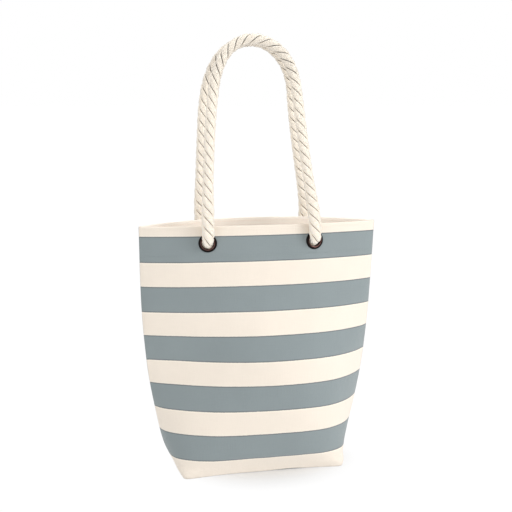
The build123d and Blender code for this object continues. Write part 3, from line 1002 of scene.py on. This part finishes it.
def add_allowance(shells, side):
    """The side seam's allowance: a fin of two layers in the seams' plane, from just inside the seam to its
    free edge. It is thin where it comes out between the panels, and it waves a little along its length."""
    cloth = bpy.context.scene.tote_cloth
    up = np.linspace(*FIN_ENDS, FIN_ROWS)
    seam = Bag("front").section(up, np.array([0.0, 1.0]))[:, 0 if side == "left" else 1]
    out = np.linspace(0, 1, FIN_COLUMNS)
    way = np.concatenate([out, out[::-1]])
    layer = np.repeat([1, -1], FIN_COLUMNS)
    half = FIN_THIN + FIN_GAIN * ease(0.0, 0.5, way) * (1 - 0.5 * ease(0.93, 1.0, way))
    wave = sum(height * np.sin(up * rate + start) for height, rate, start in FIN_WAVES)
    points = np.repeat(seam[:, None], len(way), 1)
    points[..., 0] += -SIDES[side] * (FIN_START + way * cloth.allowance)
    points[..., 1] = layer * half + wave[:, None] * way**2
    uv = uv_map(way * cloth.allowance, np.pad(up * cloth.height, 1, "edge")[:, None])
    shells.add(capped(points), uv, wrap_columns=True)


STITCH_ROWS, STITCH_SIDES = 7, 6
STITCH_PITCH, STITCH_REACH = 0.0034, 0.0027  # distance between two stitches, and the length of one
STITCH_INSET = 0.00005        # of their line from the cloth's face


def add_stitches(shells, line, out, thick, proud):
    """Stitches along a line of points on the cloth. Each one is a thin round bar along the line, whose ends
    sink into the cloth: its middle at the way w is the line's point plus thick (proud - w^2) outwards."""
    run = travelled(line)
    places = np.arange(STITCH_PITCH / 2, run[-1] - STITCH_PITCH / 2, STITCH_PITCH)
    centre, out = read_off(line, run, places), unit(read_off(out, run, places))
    along = unit(np.gradient(centre, axis=0))
    sideways = np.cross(along, out)
    way = np.linspace(-1, 1, STITCH_ROWS)
    angle = circle(STITCH_SIDES)
    width = thick / 2 * np.sqrt(np.maximum(1 - way**4, 0))
    forward, lift = (way * STITCH_REACH / 2)[:, None], (thick * (proud - way**2))[:, None]
    spine = centre[:, None] + along[:, None] * forward + out[:, None] * lift
    turned = angle[:-1, None]
    ring = np.cos(turned) * out[:, None, None] + np.sin(turned) * sideways[:, None, None]
    points = spine[:, :, None] + ring * width[:, None, None]
    uv = uv_map(angle / (2 * math.pi), ((way + 1) * STITCH_REACH / 2)[:, None])
    for stitch in points:
        shells.add(stitch, uv, wrap_columns=True)


LINE_INSIDE = slice(4, -4)    # a line of stitches leaves out the columns next to the seams


def wall_line(panel, below_rim, inset):
    """A line across the wall at a distance below the rim, moved inwards, with its outward directions."""
    rows, across = wall_grid()
    up = np.array([1 - below_rim / bpy.context.scene.tote_cloth.height])
    line, out = (at_rows(grid, rows, up)[0, LINE_INSIDE] for grid in Bag(panel).wall(rows, across))
    return line - out * inset, out


def add_ring(shells, seat, normal, profile, sides=64):
    """A closed ring: the profile's points (distance from the axis, height over the seat) turned round it."""
    first = unit(np.cross([0.0, 0.0, 1.0], normal))
    second = np.cross(normal, first)
    angle = circle(sides)
    spoke = np.cos(angle)[:-1, None] * first + np.sin(angle)[:-1, None] * second
    points = seat + profile[:, None, :1] * spoke[None] + profile[:, None, 1:] * normal
    run = travelled(np.concatenate([profile, profile[:1]]))
    uv = uv_map(angle * profile[:, 0].mean(), run[:, None])
    shells.add(points, uv, wrap_rows=True, wrap_columns=True)


WASHER = 0.0008               # how far behind the cloth the washer's back lies
FLANGE_START = 0.0005         # height over the cloth at which the bore goes over into the flange
FLANGE_ROUND = 0.85           # power that makes the flange's crown fuller than a sine wave
FLANGE_EDGE = 0.0003          # how much lower its crown is, and how far its rim is turned in
CURL_DEPTH = 0.0013           # how far the curl stands out behind the washer


def eyelet_profile():
    """Up the bore, over the rolled flange to its rim, back under it, down outside the barrel and out round
    the curl that grips the washer. The flange's crown and the curl are half waves of a sine."""
    eyelet, cloth = bpy.context.scene.tote_eyelet, bpy.context.scene.tote_cloth
    barrel, washer = eyelet.bore + eyelet.wall, -2 * cloth.canvas - WASHER
    turn, curl = np.linspace(0, math.pi, 21), np.linspace(0, math.pi, 11)
    out = eyelet.bore + (eyelet.flange - eyelet.bore) / 2 * (1 - np.cos(turn))
    crown = (eyelet.flange_height - FLANGE_EDGE) * np.sin(turn) ** FLANGE_ROUND
    top = np.column_stack([out, FLANGE_START * (1 - turn / math.pi) + crown])
    out = barrel + eyelet.curl / 2 + (eyelet.curl / 2 + eyelet.wall) * np.cos(curl) - eyelet.wall / 2
    lip = np.column_stack([out, washer - CURL_DEPTH * np.sin(curl)])
    bore = np.column_stack([np.full(6, eyelet.bore), np.linspace(washer, 0.0004, 6)])
    under = [(eyelet.flange - FLANGE_EDGE, -0.0002), (barrel + 0.0006, 0.0001), (barrel, -0.0004)]
    return np.concatenate([bore, top, under, [(barrel, washer)], lip[:-1]])


PLAY = 0.00005                # between the washer and what it lies against
# The washer's outer part, from the cloth's side round its bent edge: distance in from the edge, and behind the
# cloth.
WASHER_EDGE = np.array(
    [
        (0.0004, PLAY), (0.0, 0.0003), (0.0, 0.0012), (0.0003, 0.0015), (0.0009, 0.0014), (0.0015, 0.0010),
        (0.0022, WASHER),
    ]
)


def washer_profile():
    """A thin ring under the curl, with an outer edge rolled away from the cloth."""
    eyelet, cloth = bpy.context.scene.tote_eyelet, bpy.context.scene.tote_cloth
    inner = eyelet.bore + eyelet.wall + PLAY
    edge = np.array([eyelet.flange, -2 * cloth.canvas]) - WASHER_EDGE
    return np.array([(inner, edge[0, 1]), *edge, (inner, edge[-1, 1])])


DRILL_REACH, DRILL_SIDES = 0.012, 48  # of the cutter to either side of the cloth, and its sides


def drill(piece, holes):
    """Cuts round holes, each a point and a direction, through a piece."""
    eyelet = bpy.context.scene.tote_eyelet
    shells = Shells()
    for seat, normal in holes:
        line = seat + np.linspace(-DRILL_REACH, DRILL_REACH, 5)[:, None] * normal
        add_tube(shells, line, eyelet.bore + eyelet.wall, np.tile([1.0, 0.0, 0.0], (5, 1)), DRILL_SIDES)
    cutter = shells.gathered("bore_cutter")
    cut = piece.modifiers.new("bores", "BOOLEAN")
    cut.operation, cut.solver, cut.object = "DIFFERENCE", "EXACT", cutter
    bpy.context.view_layer.update()
    mesh = bpy.data.meshes.new_from_object(piece.evaluated_get(bpy.context.evaluated_depsgraph_get()))
    piece.modifiers.remove(cut)
    old, piece.data = piece.data, mesh
    mesh.name = piece.name
    tool = cutter.data
    bpy.data.objects.remove(cutter)
    for spent in (old, tool):
        bpy.data.meshes.remove(spent)


# ---------------------------------------------------------------- operators
class ToteOperator:
    """What the operators share."""

    bl_options = {"REGISTER", "UNDO"}


class OBJECT_OT_tote_panels(ToteOperator, bpy.types.Operator):
    """Front and rear canvas panels with their turned hems"""

    bl_idname = "tote.panels"
    bl_label = "Canvas Panels"

    def execute(self, context):
        for panel, node in (("front", "front_panel"), ("rear", "back_panel")):
            shells = Shells()
            add_panel(shells, panel)
            name = f"{panel}_canvas"
            piece = shells.piece(name, "bag", "canvas", "striped_canvas", "canvas_lining", replaces=[node])
            drill(piece, [at_eyelet(panel, side) for side in SIDES])
        return {"FINISHED"}


TAPE_INSET, TAPE_THICK = 0.00015, 0.0013  # from the wall's inner face to the tape, and the tape's thickness
TAPE_FOOT = 1.2               # height of its lower edge over the floor, in thicknesses of the canvas


class OBJECT_OT_tote_base(ToteOperator, bpy.types.Operator):
    """Base panel, and the tape over the seam round it"""

    bl_idname = "tote.base"
    bl_label = "Base and Seam Tape"

    def execute(self, context):
        cloth = context.scene.tote_cloth
        shells = Shells()
        add_base(shells)
        piece = shells.piece("base_canvas", "bag", "canvas", "canvas_lining", replaces=["base_panel"])
        shells = Shells()
        outer = cloth.canvas + TAPE_INSET
        for panel in PANELS:
            add_band(shells, panel, cloth.canvas * TAPE_FOOT, cloth.tape_height, outer, outer + TAPE_THICK)
        shells.piece("base_seam_binding", "bag", "binding_tape", "binding_tape", replaces=["base_seam_tape"])
        return {"FINISHED"}


# The rows of stitches: name, distance below the rim, or above the hem's edge where it is negative, thickness,
# how proud of the cloth they stand as a share of it, and thread.
STITCHES = [
    ("rim_stitches", 0.0032, 0.00055, 0.35, "cream_thread"),
    ("hem_stitches", -0.0025, 0.00050, 0.22, "grey_thread"),
]


class OBJECT_OT_tote_seams(ToteOperator, bpy.types.Operator):
    """Side seam allowances and the rows of stitches"""

    bl_idname = "tote.seams"
    bl_label = "Seams and Stitches"

    def execute(self, context):
        cloth = context.scene.tote_cloth
        for side in SIDES:
            shells = Shells()
            add_allowance(shells, side)
            node = f"{side}_side_seam"
            shells.piece(f"{side}_seam_allowance", "bag", "canvas", "canvas_lining", replaces=[node])
        faces = ((-STITCH_INSET, 1), (2 * cloth.canvas + STITCH_INSET, -1))
        for name, below, thick, proud, thread in STITCHES:
            below += cloth.hem_depth if below < 0 else 0
            shells = Shells()
            for panel in PANELS:
                for inset, turn in faces:
                    line, out = wall_line(panel, below, inset)
                    add_stitches(shells, line, out * turn, thick, proud)
            shells.piece(name, "bag", "canvas", thread)
        return {"FINISHED"}


class OBJECT_OT_tote_eyelets(ToteOperator, bpy.types.Operator):
    """Eyelets rolled through the cloth, and the washers behind them"""

    bl_idname = "tote.eyelets"
    bl_label = "Eyelets"

    def execute(self, context):
        profiles = {"eyelet": eyelet_profile(), "washer": washer_profile()}
        for panel, side in CORNERS:
            seat = at_eyelet(panel, side)
            for kind, profile in profiles.items():
                shells = Shells()
                add_ring(shells, *seat, profile)
                name, node = f"{kind}_{panel}_{side}", f"{panel}_{side}_{kind}"
                shells.piece(name, "bag", "eyelet_metal", "antique_bronze", replaces=[node])
        return {"FINISHED"}


class OBJECT_OT_tote_handles(ToteOperator, bpy.types.Operator):
    """The two rope handles, from eyelet to eyelet"""

    bl_idname = "tote.handles"
    bl_label = "Rope Handles"

    def execute(self, context):
        for panel in PANELS:
            line = route_line(f"{panel}_route", handle_places(panel), ROPE_STEP)
            run = travelled(line)
            way_in = np.minimum(run, run[-1] - run)
            swell = ARCH_SWELL + sum(more * (1 - ease(near, far, way_in)) for more, near, far in SWELLS)
            shells = Shells()
            add_strands(shells, line, PHASES[panel], swell)
            node = f"{panel}_handle"
            piece = shells.piece(f"{panel}_rope", None, "rope", "laid_cotton", replaces=[node])
            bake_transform(piece)
        return {"FINISHED"}


KNOT_PHASE, TAIL_PHASE = 1.1, 0.7  # turn of a knot, and of a tail's strands, from one corner to the next
TAIL_ENDS = (0.004, 0.0004)   # a tail's start above its knot's middle, and its end above the rope end's foot


class OBJECT_OT_tote_rope_ends(ToteOperator, bpy.types.Operator):
    """Knots, tails and whippings of the ropes inside the bag"""

    bl_idname = "tote.rope_ends"
    bl_label = "Knots and Tails"

    def execute(self, context):
        for corner, (panel, side) in enumerate(CORNERS):
            end, whipping = f"{panel}_{side}_rope_end", f"{panel}_{side}_whipping"
            foot = np.array([*middle(whipping)[:2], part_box(end)[0].z])
            knot = foot + [0, 0, context.scene.tote_rope.tail]
            top, bottom = ([0, 0, rise] for rise in TAIL_ENDS)
            shells = Shells()
            stopper_knot(shells, knot, KNOT_PHASE * corner)
            add_strands(shells, evenly(np.array([knot + top, foot + bottom]), ROPE_STEP), TAIL_PHASE * corner)
            shells.piece(f"knot_{panel}_{side}", "bag", "rope", "laid_cotton", replaces=[end])
            shells = Shells()
            add_whipping(shells, whipping)
            shells.piece(f"whipping_{panel}_{side}", "bag", "twine", "waxed_twine", replaces=[whipping])
        return {"FINISHED"}


# The stage's soft square lamps: name, place, width and power in watts.
LAMPS = [
    ("key", (1.5, -1.5, 1.5), 0.9, 21.0),
    ("side", (2.3, -0.5, 1.0), 1.6, 9.0),
    ("top", (0.0, 0.35, 2.0), 0.8, 12.0),
    ("fill", (-1.7, -1.8, 0.25), 1.2, 7.0),
]
LAMP_AIM = (0, 0, 0.25)       # the bag's middle
FLOOR_REACH = 12.0            # from the bag to the floor's edges
SENSOR = 36.0                 # width of the camera's sensor in millimetres


class OBJECT_OT_tote_stage(ToteOperator, bpy.types.Operator):
    """Floor, light and camera"""

    bl_idname = "tote.stage"
    bl_label = "Stage"

    def execute(self, context):
        scene, stage = context.scene, context.scene.tote_stage
        mesh = bpy.data.meshes.new("floor")
        corners = [(x * FLOOR_REACH, y * FLOOR_REACH, 0) for x, y in ((-1, -1), (1, -1), (1, 1), (-1, 1))]
        mesh.from_pydata(corners, [], [range(4)])
        mesh.materials.append(material("studio_floor"))
        floor = bpy.data.objects.new("floor", mesh)
        scene.collection.objects.link(floor)
        for name, place, size, power in LAMPS:
            self.lamp(scene, name, Vector(place), size, power * stage.light)
        self.sky(scene, stage.sky)
        self.camera(scene, stage)
        scene.view_settings.view_transform = "Standard"
        return {"FINISHED"}

    def lamp(self, scene, name, place, size, power):
        light = bpy.data.lights.new(name, "AREA")
        light.energy, light.size = power, size
        lamp = bpy.data.objects.new(name, light)
        lamp.location = place
        lamp.rotation_euler = (Vector(LAMP_AIM) - place).to_track_quat("-Z", "Y").to_euler()
        scene.collection.objects.link(lamp)

    def sky(self, scene, strength):
        """Even light from all round, white to the eye and in reflections."""
        scene.world = bpy.data.worlds.new("studio")
        scene.world.use_nodes = True
        nodes = Nodes(scene.world.node_tree)
        rays = [nodes.node("ShaderNodeLightPath", output=f"Is {ray} Ray") for ray in ("Camera", "Glossy")]
        either = nodes.node("ShaderNodeMath", {"operation": "MAXIMUM"}, dict(enumerate(rays)))
        background = nodes.tree.nodes["Background"]
        nodes.feed(background.inputs["Color"], (1.0, 1.0, 1.0))
        nodes.feed(background.inputs["Strength"], either * (1.0 - strength) + strength)

    def camera(self, scene, stage):
        """Looks from its place at the aim, then rolls about the line of sight."""
        data = bpy.data.cameras.new("camera")
        data.lens, data.sensor_width = stage.lens, SENSOR
        camera = bpy.data.objects.new("camera", data)
        look = Vector(stage.aim) - Vector(stage.camera)
        turn = look.to_track_quat("-Z", "Y").to_matrix() @ Matrix.Rotation(stage.roll, 3, "Z")
        camera.location = stage.camera
        camera.rotation_euler = turn.to_euler()
        scene.collection.objects.link(camera)
        scene.camera = camera


class VIEW3D_PT_tote(bpy.types.Panel):
    """Sizes, colours and pieces of the tote bag"""

    bl_label = "Tote Bag"
    bl_category = "Tote Bag"
    bl_space_type = "VIEW_3D"
    bl_region_type = "UI"

    def draw(self, context):
        for group in GROUPS:
            box = self.layout.box()
            settings = getattr(context.scene, group)
            for name in settings.bl_rna.properties.keys():
                if name not in ("rna_type", "name"):
                    box.prop(settings, name)
        for step in STEPS:
            self.layout.operator(step.bl_idname)


GROUPS = {
    "tote_cloth": ToteCloth,
    "tote_rope": ToteRope,
    "tote_eyelet": ToteEyelet,
    "tote_colours": ToteColours,
    "tote_stage": ToteStage,
}
STEPS = [
    OBJECT_OT_tote_stage,
    OBJECT_OT_tote_handles,
    OBJECT_OT_tote_panels,
    OBJECT_OT_tote_base,
    OBJECT_OT_tote_seams,
    OBJECT_OT_tote_eyelets,
    OBJECT_OT_tote_rope_ends,
]
CLASSES = [*GROUPS.values(), *STEPS, VIEW3D_PT_tote]


def register():
    for kind in CLASSES:
        bpy.utils.register_class(kind)
    for name, group in GROUPS.items():
        setattr(bpy.types.Scene, name, bpy.props.PointerProperty(type=group))


def unregister():
    for name in GROUPS:
        delattr(bpy.types.Scene, name)
    for kind in reversed(CLASSES):
        bpy.utils.unregister_class(kind)


def main():
    register()
    for step in STEPS:
        group, name = step.bl_idname.split(".")
        getattr(getattr(bpy.ops, group), name)()


if __name__ == "__main__":
    main()
